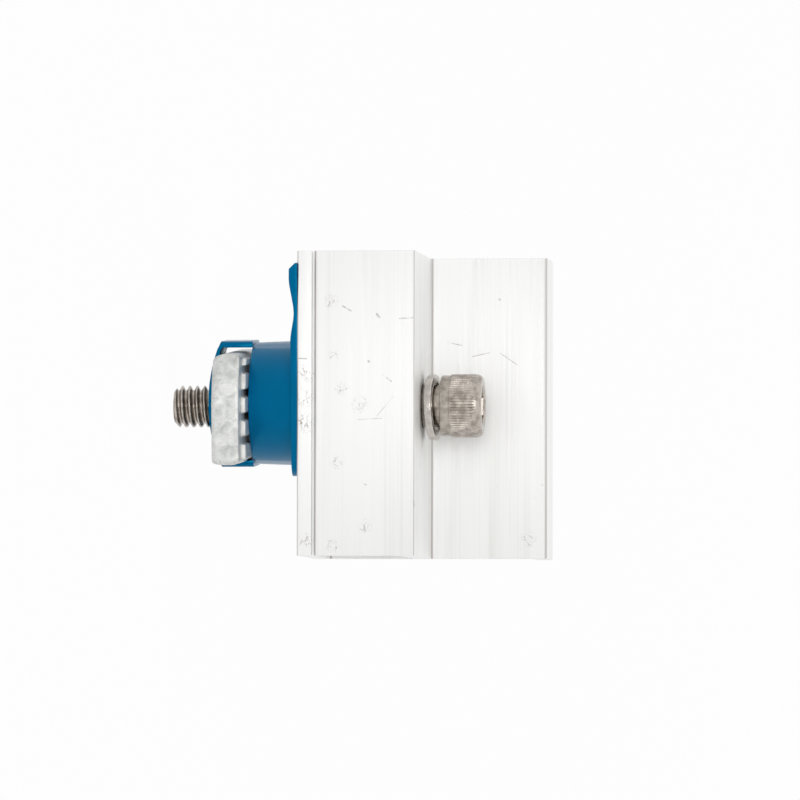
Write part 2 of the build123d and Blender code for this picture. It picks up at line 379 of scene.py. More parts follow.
def smoothBetweenCreases(piece, creaseDegrees):
    piece.data.shade_smooth()
    mesh = bmesh.new()
    mesh.from_mesh(piece.data)
    for edge in mesh.edges:
        if len(edge.link_faces) == 2 and edge.calc_face_angle() > math.radians(creaseDegrees):
            edge.smooth = False
    mesh.to_mesh(piece.data)
    mesh.free()


def applyModifiers(piece):
    bpy.context.view_layer.update()
    evaluated = piece.evaluated_get(bpy.context.evaluated_depsgraph_get())
    mesh = bpy.data.meshes.new_from_object(evaluated)
    old = piece.data
    piece.modifiers.clear()
    piece.data = mesh
    bpy.data.meshes.remove(old)
    mesh.name = piece.name
    return piece


def growTree(name, sizes):
    tree = bpy.data.node_groups.new(name, "GeometryNodeTree")
    tree.interface.new_socket("Geometry", in_out="INPUT", socket_type="NodeSocketGeometry")
    kinds = {int: "NodeSocketInt", float: "NodeSocketFloat"}
    for label, value in sizes.items():
        tree.interface.new_socket(label, in_out="INPUT", socket_type=kinds[type(value)])
    tree.interface.new_socket("Finish", in_out="INPUT", socket_type="NodeSocketMaterial")
    tree.interface.new_socket("Geometry", in_out="OUTPUT", socket_type="NodeSocketGeometry")
    source = tree.nodes.new("NodeGroupInput")
    return tree, source.outputs


def closeTree(tree, geometry, finish):
    real = addNode(tree, "GeometryNodeRealizeInstances", links={0: geometry})
    painted = addNode(tree, "GeometryNodeSetMaterial", links={"Geometry": real, "Material": finish})
    addNode(tree, "NodeGroupOutput", links={0: painted})


def runTree(piece, tree, sizes, finish):
    modifier = piece.modifiers.new(tree.name, "NODES")
    modifier.node_group = tree
    for item in tree.interface.items_tree:
        if item.in_out == "INPUT" and item.name in sizes:
            modifier[item.identifier] = sizes[item.name]
        if item.in_out == "INPUT" and item.name == "Finish":
            modifier[item.identifier] = finish
    return applyModifiers(piece)


def joinPieces(name, pieces, finish):
    joined = bmesh.new()
    for piece in pieces:
        joined.from_mesh(piece.data)
    mesh = bpy.data.meshes.new(name)
    joined.to_mesh(mesh)
    joined.free()
    mesh.materials.append(finish)
    mesh.polygons.foreach_set("material_index", [0] * len(mesh.polygons))
    for piece in pieces:
        bpy.data.objects.remove(piece)
    whole = bpy.data.objects.new(name, mesh)
    scene.collection.objects.link(whole)
    return whole


screwLow, screwHigh = (Vector(corner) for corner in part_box("cap_screw"))
capScrew = {
    "shankRadius": 3.96 * mm,
    "threadPitch": 25.4 / 18 * mm,
    "threadTurns": 20,
    "threadDepth": 0.84 * mm,
    "threadColumns": 96,        # facets round the thread, and rows of them along each pitch
    "threadRows": 12,
    "headHeight": 7.8 * mm,
    "neckRadius": 5.78 * mm,
    "neckHeight": 1.77 * mm,
    "knurlCount": 66,
    "knurlDepth": 0.2 * mm,
    # how strongly shade is painted into the knurl grooves
    "knurlShade": 0.66,
    "facetsPerKnurl": 8,
    "shoulderHeight": 1.3 * mm,
    "hexFlat": 3.175 * mm,      # from the middle to a flat
    "hexCornerRadius": 0.06 * mm,
    "hexDepth": 4.4 * mm,
    "coneDepth": 0.8 * mm,
}


def threadTree():
    # a sheet wrapped round the shank and sheared by one pitch, so each crest follows an edge of it
    sizes = {"Columns": 1, "Rows per Turn": 1, "Turns": 1, "Pitch": 1.0, "Crest": 1.0, "Root": 1.0,
             "Tip": 1.0, "Start": 1.0}
    tree, size = growTree("rolledThread", sizes)
    columns = addNode(tree, "Math", "ADD", (size["Columns"], 1))
    turnRows = addNode(tree, "Math", "ADD", (size["Turns"], 1))
    rows = addNode(tree, "Math", "MULTIPLY_ADD", (turnRows, size["Rows per Turn"], 1))
    sheet = addNode(tree, "GeometryNodeMeshGrid", {"Size X": 1.0, "Size Y": 1.0},
                    {"Vertices X": columns, "Vertices Y": rows})
    spot = addNode(tree, "SeparateXYZ", links=[addNode(tree, "GeometryNodeInputPosition")])
    around = addNode(tree, "Math", "ADD", (spot.outputs[0], 0.5))
    up = addNode(tree, "Math", "ADD", (spot.outputs[1], 0.5))
    turns = addNode(tree, "Math", "MULTIPLY", (up, turnRows))
    phase = addNode(tree, "Math", "FRACT", [addNode(tree, "Math", "ADD", (turns, 0.0001))])
    ridge = addNode(tree, "Math", "ABSOLUTE", [addNode(tree, "Math", "MULTIPLY_ADD", (phase, 2, -1))])
    ridge = addNode(tree, "Math", "SUBTRACT", (1, ridge))
    flank = addNode(tree, "Math", {"operation": "MULTIPLY_ADD", "use_clamp": True}, (ridge, 1.5, -0.25))
    rise = addNode(tree, "Math", "SUBTRACT", (size["Crest"], size["Root"]))
    radius = addNode(tree, "Math", "MULTIPLY_ADD", (flank, rise, size["Root"]))
    length = addNode(tree, "Math", "MULTIPLY", (size["Turns"], size["Pitch"]))
    raised = addNode(tree, "Math", "SUBTRACT", (addNode(tree, "Math", "ADD", (turns, around)), 1))
    height = addNode(tree, "Math", "MULTIPLY", (raised, size["Pitch"]))
    height = addNode(tree, "Math", "MINIMUM", (addNode(tree, "Math", "MAXIMUM", (height, 0)), length))
    bevelled = addNode(tree, "Math", "ADD", (height, size["Tip"]))
    radius = addNode(tree, "Math", "MINIMUM", (radius, bevelled))
    runOutStart = addNode(tree, "Math", "MULTIPLY_ADD", (size["Pitch"], -1.6, length))
    runOut = addNode(tree, "MapRange", {"interpolation_type": "SMOOTHSTEP"},
                     {"Value": height, "From Min": runOutStart, "From Max": length})
    gap = addNode(tree, "Math", "SUBTRACT", (size["Crest"], radius))
    radius = addNode(tree, "Math", "MULTIPLY_ADD", (gap, runOut, radius))
    angle = addNode(tree, "Math", "MULTIPLY", (around, 2 * math.pi))
    x = addNode(tree, "Math", "MULTIPLY", (radius, addNode(tree, "Math", "COSINE", [angle])))
    y = addNode(tree, "Math", "MULTIPLY", (radius, addNode(tree, "Math", "SINE", [angle])))
    z = addNode(tree, "Math", "ADD", (height, size["Start"]))
    shaped = addNode(tree, "CombineXYZ", links=(x, y, z))
    # painted shade on the thread flanks, stored as the groove attribute and faded at the run-out
    steep = addNode(tree, "Math", "MULTIPLY", (flank, 4))
    steep = addNode(tree, "Math", "MULTIPLY", (steep, addNode(tree, "Math", "SUBTRACT", (1, flank))))
    depth = addNode(tree, "Math", "MULTIPLY", (steep, addNode(tree, "Math", "SUBTRACT", (1, runOut))))
    marked = addNode(tree, "GeometryNodeStoreNamedAttribute", {"Name": "groove", "data_type": "FLOAT"},
                     {"Geometry": sheet, "Value": depth})
    wrapped = addNode(tree, "GeometryNodeSetPosition", links={"Geometry": marked, "Position": shaped})
    ends = []
    last = addNode(tree, "Math", "ADD", (length, size["Start"]))
    for ring, level, turnOver in ((size["Tip"], size["Start"], True), (size["Crest"], last, False)):
        disc = addNode(tree, "GeometryNodeMeshCircle", {"fill_type": "TRIANGLE_FAN"},
                       {"Vertices": size["Columns"], "Radius": ring})
        lift = addNode(tree, "CombineXYZ", links={2: level})
        moved = addNode(tree, "GeometryNodeTransform", links={"Geometry": disc, "Translation": lift})
        if turnOver:
            moved = addNode(tree, "GeometryNodeFlipFaces", links={0: moved})
        ends.append(moved)
    whole = addNode(tree, "GeometryNodeJoinGeometry")
    for part in [wrapped] + ends:
        tree.links.new(part.outputs[0], whole.inputs[0])
    welded = addNode(tree, "GeometryNodeMergeByDistance", {"Distance": 0.004 * mm}, {"Geometry": whole})
    smooth = addNode(tree, "GeometryNodeSetShadeSmooth", {"Shade Smooth": True}, {"Geometry": welded})
    closeTree(tree, smooth, size["Finish"])
    return tree


def knurlTree():
    # presses straight grooves into the band of the head between two heights
    sizes = {"Ridges": 1, "Depth": 1.0, "Low": 1.0, "High": 1.0, "Run Out": 1.0, "Inside": 1.0, "Groove Shade": 1.0}
    tree, size = growTree("straightKnurl", sizes)
    spot = addNode(tree, "SeparateXYZ", links=[addNode(tree, "GeometryNodeInputPosition")])
    angle = addNode(tree, "Math", "ARCTAN2", (spot.outputs[1], spot.outputs[0]))
    turn = addNode(tree, "Math", "DIVIDE", (angle, 2 * math.pi))
    count = addNode(tree, "Math", "MULTIPLY", (addNode(tree, "Math", "ADD", (turn, 1)), size["Ridges"]))
    phase = addNode(tree, "Math", "FRACT", [addNode(tree, "Math", "ADD", (count, 0.0001))])
    groove = addNode(tree, "Math", "ABSOLUTE", [addNode(tree, "Math", "MULTIPLY_ADD", (phase, 2, -1))])
    groove = addNode(tree, "Math", "SUBTRACT", (1, groove))
    groove = addNode(tree, "Math", {"operation": "MULTIPLY_ADD", "use_clamp": True}, (groove, 2.4, -1.35))
    fullFrom = addNode(tree, "Math", "ADD", (size["Low"], size["Run Out"]))
    fullTo = addNode(tree, "Math", "SUBTRACT", (size["High"], size["Run Out"]))
    lower = addNode(tree, "MapRange", None, (spot.outputs[2], size["Low"], fullFrom))
    upper = addNode(tree, "MapRange", None, (spot.outputs[2], size["High"], fullTo))
    across = addNode(tree, "CombineXYZ", links={0: spot.outputs[0], 1: spot.outputs[1]})
    radius = addNode(tree, "VectorMath", "LENGTH", {0: across})
    outside = addNode(tree, "Math", "GREATER_THAN", (radius.outputs["Value"], size["Inside"]))
    band = addNode(tree, "Math", "MULTIPLY", (lower, upper))
    band = addNode(tree, "Math", "MULTIPLY", (band, outside))
    pressed = addNode(tree, "Math", "MULTIPLY", (band, groove))
    sink = addNode(tree, "Math", "MULTIPLY", (pressed, size["Depth"]))
    inwards = addNode(tree, "Math", "MULTIPLY", (sink, -1))
    # painted shade in the pressed grooves, stored as the groove attribute
    paintedShade = addNode(tree, "Math", "MULTIPLY", (pressed, size["Groove Shade"]))
    away = addNode(tree, "VectorMath", "NORMALIZE", {0: across})
    push = addNode(tree, "VectorMath", "SCALE", {0: away, "Scale": inwards})
    marked = addNode(tree, "GeometryNodeStoreNamedAttribute", {"Name": "groove", "data_type": "FLOAT"},
                     {"Geometry": size["Geometry"], "Value": paintedShade})
    cut = addNode(tree, "GeometryNodeSetPosition", links={"Geometry": marked, "Offset": push})
    closeTree(tree, cut, size["Finish"])
    return tree


def turnedHead():
    s = capScrew
    top = screwHigh.z
    seat = top - s["headHeight"]
    neckTop = seat + s["neckHeight"]
    shoulder = top - s["shoulderHeight"]
    head = screwHigh.x - 0.01 * mm
    floor = top - s["hexDepth"]
    threadEnd = screwLow.z + s["threadTurns"] * s["threadPitch"]
    corner = s["hexFlat"] / math.cos(math.pi / 6)
    knurlLow = neckTop + 0.12 * mm
    rings = [
        (0, threadEnd - 0.6 * mm), (s["shankRadius"] - 0.03 * mm, threadEnd - 0.6 * mm),
        (s["shankRadius"] - 0.03 * mm, threadEnd - 0.05 * mm), (s["shankRadius"], threadEnd + 0.05 * mm),
        (s["shankRadius"], seat - 0.3 * mm), (s["shankRadius"] + 0.06 * mm, seat - 0.08 * mm),
        (s["shankRadius"] + 0.3 * mm, seat), (s["neckRadius"] - 0.25 * mm, seat),
        (s["neckRadius"] - 0.08 * mm, seat + 0.07 * mm), (s["neckRadius"], seat + 0.25 * mm),
        (s["neckRadius"] - 0.04 * mm, neckTop - 0.25 * mm), (s["neckRadius"], neckTop - 0.1 * mm),
        (head - 0.12 * mm, neckTop), (head - 0.02 * mm, knurlLow),
        (head, knurlLow + 0.12 * mm), (head, knurlLow + 0.25 * mm),
        (head, shoulder - 0.55 * mm), (head, shoulder - 0.25 * mm), (head - 0.01 * mm, shoulder),
        (head - 0.05 * mm, shoulder + 0.35 * mm), (head - 0.14 * mm, top - 0.6 * mm),
        (head - 0.32 * mm, top - 0.3 * mm), (head - 0.62 * mm, top - 0.09 * mm), (head - 1.0 * mm, top),
        (corner + 0.3 * mm, top), (corner + 0.12 * mm, top - 0.06 * mm),
    ]
    columns = s["knurlCount"] * s["facetsPerKnurl"]
    vertices = []

    def addRing(height, radiusAt):
        for step in range(columns):
            turn = 2 * math.pi * step / columns
            radius = radiusAt(turn)
            vertices.append((radius * math.cos(turn), radius * math.sin(turn), height))

    for radius, height in rings:
        addRing(height, lambda turn: radius)
    for share, height in ((1.02, top - 0.22 * mm), (1.0, top - 0.4 * mm), (1.0, floor)):
        addRing(height, lambda turn: min(share * s["hexFlat"] / math.cos(turn % (math.pi / 3) - math.pi / 6),
                                         corner - s["hexCornerRadius"]))
    for radius, height in ((0.5 * mm, floor - s["coneDepth"]), (0, floor - s["coneDepth"] - 0.05 * mm)):
        addRing(height, lambda turn: radius)
    faces = []
    for start in range(0, len(vertices) - columns, columns):
        faces += ringFaces(start, start + columns, columns)
    head = meshFrom("knurledHead", vertices, faces)
    faceOutwards(head, weld=0.001 * mm)
    smoothBetweenCreases(head, 40)
    sizes = {"Ridges": s["knurlCount"], "Depth": s["knurlDepth"], "Low": knurlLow,
             "High": shoulder + 0.05 * mm, "Run Out": 0.25 * mm, "Inside": s["neckRadius"],
             "Groove Shade": s["knurlShade"]}
    return runTree(head, knurlTree(), sizes, screwSteel)


def makeCapScrew():
    s = capScrew
    root = s["shankRadius"] - s["threadDepth"]
    thread = meshFrom("thread", [(0, 0, 0)], [])
    sizes = {"Columns": s["threadColumns"], "Rows per Turn": s["threadRows"], "Turns": s["threadTurns"],
             "Pitch": s["threadPitch"], "Crest": s["shankRadius"], "Root": root, "Tip": root - 0.03 * mm,
             "Start": screwLow.z + 0.01 * mm}
    runTree(thread, threadTree(), sizes, screwSteel)
    return joinPieces("socketCapScrew", [thread, turnedHead()], screwSteel)


screw = makeCapScrew()
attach(screw, "screw")
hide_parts("cap_screw")
print("cap screw made", len(screw.data.polygons))


washerLow, washerHigh = (Vector(corner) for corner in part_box("lock_washer"))
springWasher = {
    "outer": 6.24 * mm,
    "inner": 4.6 * mm,
    "thickness": 1.42 * mm,
    "rise": 0.7 * mm,
    "corner": 0.22 * mm,
    "gapDegrees": 6.0,
    "facets": 144,
    "leanBack": 5.6,
    "leanSide": 3.0,
}


def makeWasher():
    # rectangular strip coiled once, its two ends sprung apart at the back
    s = springWasher
    steps = s["facets"]
    width = s["outer"] - s["inner"]
    middle = (s["outer"] + s["inner"]) / 2
    halfWidth = width / 2 - s["corner"]
    halfHeight = s["thickness"] / 2 - s["corner"]
    section = []
    for cornerX, cornerZ, first in ((1, 1, 0), (-1, 1, 90), (-1, -1, 180), (1, -1, 270)):
        for part in range(5):
            turn = math.radians(first + part * 22.5)
            section.append((cornerX * halfWidth + s["corner"] * math.cos(turn),
                            cornerZ * halfHeight + s["corner"] * math.sin(turn)))
    lean = Matrix.Rotation(math.radians(s["leanBack"]), 4, "X") @ Matrix.Rotation(
        math.radians(-s["leanSide"]), 4, "Y")
    centre = (washerLow + washerHigh) / 2
    vertices = []
    for step in range(steps + 1):
        share = step / steps
        angle = math.radians(90 - s["gapDegrees"] / 2 - share * (360 - s["gapDegrees"]))
        for x, z in section:
            spot = Vector(((middle + x) * math.cos(angle), (middle + x) * math.sin(angle),
                           z + s["rise"] * (share - 0.5)))
            vertices.append(tuple(lean @ spot + centre))
    size = len(section)
    faces = [tuple(range(size)), tuple(steps * size + corner for corner in reversed(range(size)))]
    for step in range(steps):
        faces += ringFaces(step * size, (step + 1) * size, size)
    washer = meshFrom("springLockWasher", vertices, faces)
    faceOutwards(washer)
    washer.data.polygons.foreach_set("use_smooth", [len(face.vertices) == 4 for face in washer.data.polygons])
    washer.data.materials.append(washerSteel)
    return washer


washer = makeWasher()
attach(washer, "washer")
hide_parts("lock_washer")
print("lock washer made")


nutLow, nutHigh = (Vector(corner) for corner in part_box("channel_nut"))
castNut = {
    "length": 38 * mm,
    "width": 20.8 * mm,
    "ridgeHeight": 0.9 * mm,
    "turnDegrees": 4.3,
    "sharpCorner": 1.0 * mm,
    "bore": 4.02 * mm,
    "sideRoundBelow": (1.5 * mm, 2.5 * mm),     # inwards, then up or down
    "sideRoundAbove": (0.85 * mm, 1.6 * mm),
    "endRoundBelow": (0.8 * mm, 0.8 * mm),
    "endRoundAbove": (0.25 * mm, 0.25 * mm),
    "sharpEndFlatter": 0.62,    # how much less the lower edge is rounded at the sharp corners
    "ridges": 5,
    "ridgePitch": 4.4 * mm,
    "ridgeLand": 2.8 * mm,
    "ridgeRoot": 3.3 * mm,
    "ridgeShift": -0.8 * mm,
    "ridgeSetback": 3.4 * mm,
    "ridgeInset": 0.95 * mm,
    "ridgeSunk": 0.3 * mm,      # how far the ridges run into the plate
    "grid": 0.19 * mm,
    "softening": 2,
    "roughCast": 0.045 * mm,
    "lumpSize": 2.2 * mm,
}


def weldedCopy(node, name):
    piece = bpy.data.objects.new(name, nodes[node].data.copy())
    piece.data.materials.clear()
    scene.collection.objects.link(piece)
    mesh = bmesh.new()
    mesh.from_mesh(piece.data)
    bmesh.ops.remove_doubles(mesh, verts=mesh.verts, dist=0.002 * mm)
    bmesh.ops.dissolve_limit(mesh, angle_limit=math.radians(2), verts=mesh.verts, edges=mesh.edges)
    mesh.to_mesh(piece.data)
    mesh.free()
    return piece


def ridgeTree():
    # parallel ridges on the nut's upper face, cut to the plan of the nut
    sizes = {"Ridges": 1, "Pitch": 1.0, "Shift": 1.0, "Root": 1.0, "Land": 1.0, "Height": 1.0, "Base": 1.0,
             "Half Length": 1.0, "Half Width": 1.0, "Setback": 1.0}
    tree, size = growTree("nutRidges", sizes)
    bar = addNode(tree, "GeometryNodeMeshCube",
                  {"Vertices X": 9, "Vertices Y": 3, "Vertices Z": 2, "Size": (2, 2, 2)})
    spread = addNode(tree, "CombineXYZ", links={0: size["Pitch"]})
    gaps = addNode(tree, "Math", "SUBTRACT", (size["Ridges"], 1))
    middle = addNode(tree, "Math", "MULTIPLY", (gaps, -0.5))
    start = addNode(tree, "Math", "MULTIPLY_ADD", (middle, size["Pitch"], size["Shift"]))
    first = addNode(tree, "CombineXYZ", links=[start])
    row = addNode(tree, "GeometryNodeMeshLine",
                  links={"Count": size["Ridges"], "Start Location": first, "Offset": spread})
    slim = addNode(tree, "SeparateXYZ", links=[addNode(tree, "GeometryNodeInputPosition")])
    upper = addNode(tree, "Math", "GREATER_THAN", (slim.outputs[2], 0))
    narrowing = addNode(tree, "Math", "SUBTRACT", (size["Land"], size["Root"]))
    wide = addNode(tree, "Math", "MULTIPLY_ADD", (narrowing, upper, size["Root"]))
    half = addNode(tree, "Math", "MULTIPLY", (wide, 0.5))
    x = addNode(tree, "Math", "MULTIPLY", (slim.outputs[0], half))
    y = addNode(tree, "Math", "MULTIPLY", (slim.outputs[1], size["Half Length"]))
    z = addNode(tree, "Math", "MULTIPLY_ADD", (upper, size["Height"], size["Base"]))
    shaped = addNode(tree, "CombineXYZ", links=(x, y, z))
    tapered = addNode(tree, "GeometryNodeSetPosition", links={"Geometry": bar, "Position": shaped})
    copies = addNode(tree, "GeometryNodeInstanceOnPoints", links={"Points": row, "Instance": tapered})
    real = addNode(tree, "GeometryNodeRealizeInstances", links={0: copies})
    spot = addNode(tree, "SeparateXYZ", links=[addNode(tree, "GeometryNodeInputPosition")])
    inside = addNode(tree, "Math", "MULTIPLY", (size["Half Width"], -1))
    x = addNode(tree, "Math", "MINIMUM", (spot.outputs[0], size["Half Width"]))
    x = addNode(tree, "Math", "MAXIMUM", (x, inside))
    end = addNode(tree, "Math", "SIGN", [spot.outputs[1]])
    quarter = addNode(tree, "Math", "MULTIPLY", (x, end))
    swept = addNode(tree, "Math", "GREATER_THAN", (quarter, 0))
    square = addNode(tree, "Math", "MULTIPLY", (size["Half Length"], size["Half Length"]))
    left = addNode(tree, "Math", "SUBTRACT", (square, addNode(tree, "Math", "MULTIPLY", (x, x))))
    arc = addNode(tree, "Math", "SQRT", [left])
    loss = addNode(tree, "Math", "SUBTRACT", (size["Half Length"], arc))
    loss = addNode(tree, "Math", "MULTIPLY", (loss, swept))
    reach = addNode(tree, "Math", "SUBTRACT", (size["Half Length"], loss))
    reach = addNode(tree, "Math", "SUBTRACT", (reach, size["Setback"]))
    y = addNode(tree, "Math", "MULTIPLY", (end, reach))
    cut = addNode(tree, "CombineXYZ", links=(x, y, spot.outputs[2]))
    trimmed = addNode(tree, "GeometryNodeSetPosition", links={"Geometry": real, "Position": cut})
    whole = addNode(tree, "GeometryNodeJoinGeometry")
    for part in (trimmed.outputs[0], size["Geometry"]):
        tree.links.new(part, whole.inputs[0])
    closeTree(tree, whole, size["Finish"])
    return tree


def castTree():
    # softens the casting's skin and sinks it unevenly, never outwards
    tree, size = growTree("castSkin", {"Softening": 1, "Depth": 1.0, "Lumps": 1.0})
    spot = addNode(tree, "GeometryNodeInputPosition")
    blurred = addNode(tree, "GeometryNodeBlurAttribute", {"data_type": "FLOAT_VECTOR"},
                      {"Iterations": size["Softening"], "Value": spot.outputs[0]})
    smoothed = addNode(tree, "GeometryNodeSetPosition",
                       links={"Geometry": size["Geometry"], "Position": blurred})
    lumps = addNode(tree, "TexNoise", {"Detail": 3.0, "Roughness": 0.55},
                    {"Scale": addNode(tree, "Math", "DIVIDE", (1, size["Lumps"])),
                     "Vector": spot.outputs[0]})
    sunk = addNode(tree, "MapRange", {"From Min": 0.25, "From Max": 0.75, "To Max": -1.0}, {"Value": lumps})
    depth = addNode(tree, "Math", "MULTIPLY", (sunk, size["Depth"]))
    normal = addNode(tree, "GeometryNodeInputNormal")
    push = addNode(tree, "VectorMath", "SCALE", {0: normal, "Scale": depth})
    rough = addNode(tree, "GeometryNodeSetPosition", links={"Geometry": smoothed, "Offset": push})
    smooth = addNode(tree, "GeometryNodeSetShadeSmooth", {"Shade Smooth": True}, {"Geometry": rough})
    closeTree(tree, smooth, size["Finish"])
    return tree


def nutOutline(halfWidth, halfLength, corner):
    # two opposite ends of the plan are swept on a circle about the screw, so that the nut can turn
    points = []
    arcSteps, sideSteps, cornerSteps, endSteps = 24, 20, 6, 13
    for step in range(arcSteps + 1):
        x = -halfWidth * step / arcSteps
        points.append((x, -math.sqrt(halfLength ** 2 - x ** 2)))
    lowest = points[-1][1]
    for step in range(1, sideSteps + 1):
        points.append((-halfWidth, lowest + (halfLength - corner - lowest) * step / sideSteps))
    for step in range(1, cornerSteps + 1):
        turn = math.radians(180 - 90 * step / cornerSteps)
        points.append((-halfWidth + corner + corner * math.cos(turn),
                       halfLength - corner + corner * math.sin(turn)))
    for step in range(1, endSteps):
        points.append(((-halfWidth + corner) * (1 - step / endSteps), halfLength))
    return points + [(-x, -y) for x, y in points]


def nutPlate():
    s = castNut
    halfWidth, halfLength = s["width"] / 2, s["length"] / 2
    bottom, top = nutLow.z, nutHigh.z - s["ridgeHeight"]
    levels = []
    belowSteps, aboveSteps = 7, 6
    for step in range(belowSteps + 1):
        turn = math.radians(90 * step / belowSteps)
        levels.append((bottom + s["sideRoundBelow"][1] * (1 - math.cos(turn)),
                       s["sideRoundBelow"][0] * (1 - math.sin(turn)), 0))
    for step in range(aboveSteps + 1):
        turn = math.radians(90 * step / aboveSteps)
        levels.append((top - s["sideRoundAbove"][1] * (1 - math.sin(turn)), 0,
                       s["sideRoundAbove"][0] * (1 - math.cos(turn))))
    vertices = []
    for height, below, above in levels:
        endBelow = max(0, 1 - (height - bottom) / s["endRoundBelow"][1])
        endAbove = max(0, 1 - (top - height) / s["endRoundAbove"][1])
        shorter = s["endRoundBelow"][0] * (1 - math.sqrt(1 - endBelow ** 2)) + s["endRoundAbove"][0] * (
            1 - math.sqrt(1 - endAbove ** 2))
        for x, y in nutOutline(halfWidth, halfLength - shorter, s["sharpCorner"]):
            fade = 0.5 - 0.5 * math.copysign(1, x) * y / halfLength    # 0 at a swept corner, 1 at a sharp one
            narrower = below * (1 - s["sharpEndFlatter"] * fade) + above
            vertices.append((x * (1 - narrower / halfWidth), y, height))
    size = len(vertices) // len(levels)
    faces = []
    for level in range(len(levels) - 1):
        faces += ringFaces(level * size, (level + 1) * size, size)
    bore = len(vertices)
    for height, ring in ((bottom, 0), (top, len(levels) - 1)):
        start = len(vertices)
        for x, y, z in vertices[ring * size:(ring + 1) * size]:
            away = math.hypot(x, y)
            vertices.append((x / away * s["bore"], y / away * s["bore"], height))
        faces += ringFaces(ring * size, start, size)
    faces += ringFaces(bore, bore + size, size)
    plate = meshFrom("channelNut", vertices, faces)
    faceOutwards(plate)
    return plate


def makeNut():
    s = castNut
    ridges = {"Ridges": s["ridges"], "Pitch": s["ridgePitch"], "Shift": s["ridgeShift"],
              "Root": s["ridgeRoot"], "Land": s["ridgeLand"], "Height": s["ridgeHeight"] + s["ridgeSunk"],
              "Base": nutHigh.z - s["ridgeHeight"] - s["ridgeSunk"], "Half Length": s["length"] / 2,
              "Half Width": s["width"] / 2 - s["ridgeInset"], "Setback": s["ridgeSetback"]}
    nut = runTree(nutPlate(), ridgeTree(), ridges, zinc)
    nut.data.transform(Matrix.Rotation(math.radians(s["turnDegrees"]), 4, "Z"))
    remesh = nut.modifiers.new("grid", "REMESH")
    remesh.mode = "VOXEL"
    remesh.voxel_size = s["grid"]
    applyModifiers(nut)
    nut.data.materials.clear()
    sizes = {"Softening": s["softening"], "Depth": s["roughCast"], "Lumps": s["lumpSize"]}
    return runTree(nut, castTree(), sizes, zinc)


nut = makeNut()
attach(nut, "nut")
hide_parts("channel_nut")
print("channel nut made", len(nut.data.polygons))


holderEdges = {"radius": 0.22 * mm, "segments": 3, "roundFromDegrees": 35, "creaseDegrees": 32}
bodyEdges = {"radius": 0.1 * mm, "segments": 2, "roundFromDegrees": 35, "creaseDegrees": 32}


def softEdged(node, name, edges, finish, adjust=None):
    piece = weldedCopy(node, name)
    if adjust:
        adjust(piece)
    bevel = piece.modifiers.new("edges", "BEVEL")
    bevel.width = edges["radius"]
    bevel.segments = edges["segments"]
    bevel.limit_method = "ANGLE"
    bevel.angle_limit = math.radians(edges["roundFromDegrees"])
    bevel.miter_outer = "MITER_ARC"
    applyModifiers(piece)
    piece.data.materials.append(finish)
    smoothBetweenCreases(piece, edges["creaseDegrees"])
    return piece


holderBar = {
    "top": -9.3 * mm,           # everything below this level is the bar
    "axisShift": 0.6 * mm,
    "turnedInFrame": 5.5,
    "turnDegrees": 4.3,
    "endsFrom": 10.9 * mm,
    "endsInwards": 0.33 * mm,
}


def trimBar(piece):
    # brings the bar's ends flush with the stem and turns it in line with the nut
    s = holderBar
    turnBack = Matrix.Rotation(math.radians(-s["turnedInFrame"]), 4, "Z")
    turnOut = Matrix.Rotation(math.radians(s["turnedInFrame"]), 4, "Z")
    axis = Matrix.Translation((-s["axisShift"], 0, 0))
    twist = axis @ Matrix.Rotation(math.radians(s["turnDegrees"] - s["turnedInFrame"]), 4,
                                   "Z") @ axis.inverted()
    for vertex in piece.data.vertices:
        if vertex.co.z < s["top"]:
            spot = turnBack @ vertex.co
            across = spot.x + s["axisShift"]
            if abs(across) > s["endsFrom"]:
                spot.x -= math.copysign(s["endsInwards"], across)
            vertex.co = turnOut @ (twist @ spot)


holder = softEdged("nut_holder", "nutHolder", holderEdges, bluePlastic, trimBar)
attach(holder, "nut")
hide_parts("nut_holder")
print("nut holder made")


body = softEdged("clamp_body", "extrudedClamp", bodyEdges, aluminium)
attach(body, "clamp")
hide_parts("clamp_body")
print("clamp body made")


studio = {
    "floorSize": 12.0,
    "floorWhite": 0.9,
    "floorGlow": 0.97,
    "skyDiffuse": 0.3,
    "skyShown": 1.0,
    "keySize": 0.6,
    "keyPower": 3.4,
    "keyPlace": (-6.0, 6.0, 1.9),       # azimuth, elevation, distance in metres
    "frontSize": 1.8,
    "frontPower": 34.0,
    "frontPlace": (-8.0, 4.0, 2.2),
    "topSize": 1.2,
    "topPower": 4.0,
    "topPlace": (-60.0, 70.0, 1.7),
    "flagSize": 0.22,
    "flagPlace": (21.0, 5.0, 1.1),
    "backSize": 1.5,
    "backPower": 6.0,
    "backPlace": (165.0, 25.0, 2.2),
}


def litForShow(tree):
    # 1 for rays from the camera, mirrored or let through, 0 for the diffuse ones that light the pieces
    path = addNode(tree, "LightPath")
    seen = addNode(tree, "Math", {"operation": "ADD", "use_clamp": True},
                   (path.outputs["Is Camera Ray"], path.outputs["Is Glossy Ray"]))
    return addNode(tree, "Math", {"operation": "ADD", "use_clamp": True},
                   (seen, path.outputs["Is Transmission Ray"]))


def squareCard(name, half, level=0.0):
    corners = [(-half, -half, level), (half, -half, level), (half, half, level), (-half, half, level)]
    return meshFrom(name, corners, [(0, 1, 2, 3)])


def makeFloor():
    floor = squareCard("floor", studio["floorSize"] / 2, screwLow.z)
    material = bpy.data.materials.new("whiteTable")
    tree = emptyTree(material)
    matt = addNode(tree, "BsdfDiffuse", {"Color": grey(studio["floorWhite"])})
    glow = addNode(tree, "Emission", {"Color": grey(1), "Strength": 1.0})
    share = addNode(tree, "Math", "MULTIPLY", (litForShow(tree), studio["floorGlow"]))
    mixed = addNode(tree, "MixShader", links=(share, matt, glow))
    addNode(tree, "OutputMaterial", links=[mixed])
    floor.data.materials.append(material)


